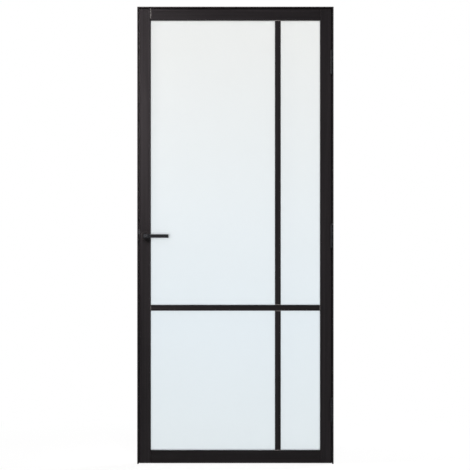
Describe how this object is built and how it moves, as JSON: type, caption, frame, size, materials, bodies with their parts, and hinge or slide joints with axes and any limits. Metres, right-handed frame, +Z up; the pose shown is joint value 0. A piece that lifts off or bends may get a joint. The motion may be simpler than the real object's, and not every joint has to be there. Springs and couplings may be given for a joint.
{
  "type": "glass door",
  "caption": "Black framed glass door with a lever latch: a stile-and-rail leaf with satin panes divided by slim bars, hung on butt hinges in a narrow sealed frame.",
  "frame": {"origin": "floor level, at the middle of the frame's width and of the leaf's thickness", "axes": "+X across the door towards the hinge side seen from the front, +Y from the front into the depth, +Z up"},
  "size_m": [0.853, 0.152, 1.986],
  "materials": {
    "black_lacquer": "matt black lacquer",
    "black_frame": "matt black powder coat",
    "black_hardware": "satin black",
    "satin_glass": "satin etched",
    "seal_rubber": "matt",
    "steel": "brushed",
    "cleat_aluminium": "mill",
    "black_plastic": "matt",
    "nylon": "matt",
    "beech": "bare"
  },
  "bodies": {
    "frame": {"frame_jamb_latch": "black_frame", "frame_jamb_hinge": "black_frame", "frame_head": "black_frame", "corner_cleats": "cleat_aluminium", "corner_screws": "black_hardware", "seal_latch": "seal_rubber", "seal_hinge": "seal_rubber", "seal_head": "seal_rubber", "strike_plate": "steel", "strike_screws": "steel", "fixing_caps": "black_plastic", "hinge_bottom_frame_plate": "black_hardware", "hinge_middle_frame_plate": "black_hardware", "hinge_top_frame_plate": "black_hardware", "hinge_pins": "black_hardware", "hinge_washers": "black_plastic", "hinge_frame_screws": "black_hardware"},
    "leaf": {"stile_latch": "black_lacquer", "stile_hinge": "black_lacquer", "rail_top": "black_lacquer", "rail_bottom": "black_lacquer", "bar_horizontal": "black_lacquer", "bar_vertical_upper": "black_lacquer", "bar_vertical_lower": "black_lacquer", "beads_upper_wide": "black_lacquer", "beads_upper_narrow": "black_lacquer", "beads_lower_wide": "black_lacquer", "beads_lower_narrow": "black_lacquer", "hinge_bottom_leaf_plate": "black_hardware", "hinge_middle_leaf_plate": "black_hardware", "hinge_top_leaf_plate": "black_hardware", "hinge_leaf_screws": "black_hardware", "rose_front": "black_hardware", "rose_rear": "black_hardware", "glass_upper_wide": "satin_glass", "glass_upper_narrow": "satin_glass", "glass_lower_wide": "satin_glass", "glass_lower_narrow": "satin_glass", "tapes_front": "seal_rubber", "tapes_back": "seal_rubber", "lock_case": "steel", "lock_cover": "steel", "lock_case_screws": "steel", "lock_faceplate": "steel", "faceplate_screws": "steel", "latch_spring": "steel", "return_spring": "steel", "rose_bases": "steel", "rose_screws": "steel", "setting_blocks": "nylon", "lever_bushes": "nylon", "corner_dowels": "beech", "bar_dowels": "beech"},
    "lever_set": {"spindle": "steel", "lever_front": "black_hardware", "lever_rear": "black_hardware", "follower": "steel", "grub_screws": "steel"},
    "latch_bolt": {"latch_bolt": "steel"}
  },
  "joints": [
    {"name": "door_swing", "type": "hinge", "parent": "frame", "child": "leaf", "pos_m": [0.41875, -0.027, 0.99], "axis": [0, 0, 1], "range_deg": [0, 170]},
    {"name": "lever_turn", "type": "hinge", "parent": "leaf", "child": "lever_set", "pos_m": [-0.3895, 0, 0.99], "axis": [0, 1, 0], "range_deg": [0, 35], "stiffness_Nm_per_rad": 0.8, "springref_deg": -34.38, "deforming": ["return_spring"]},
    {"name": "latch_slide", "type": "slide", "parent": "leaf", "child": "latch_bolt", "axis": [1, 0, 0], "range_m": [0, 0.009], "stiffness_N_per_m": 300, "springref_m": -0.01, "deforming": ["latch_spring"]}
  ],
  "couplings": [
    {"joint": "latch_slide", "follows": "lever_turn", "m_per_rad": 0.014733}
  ]
}
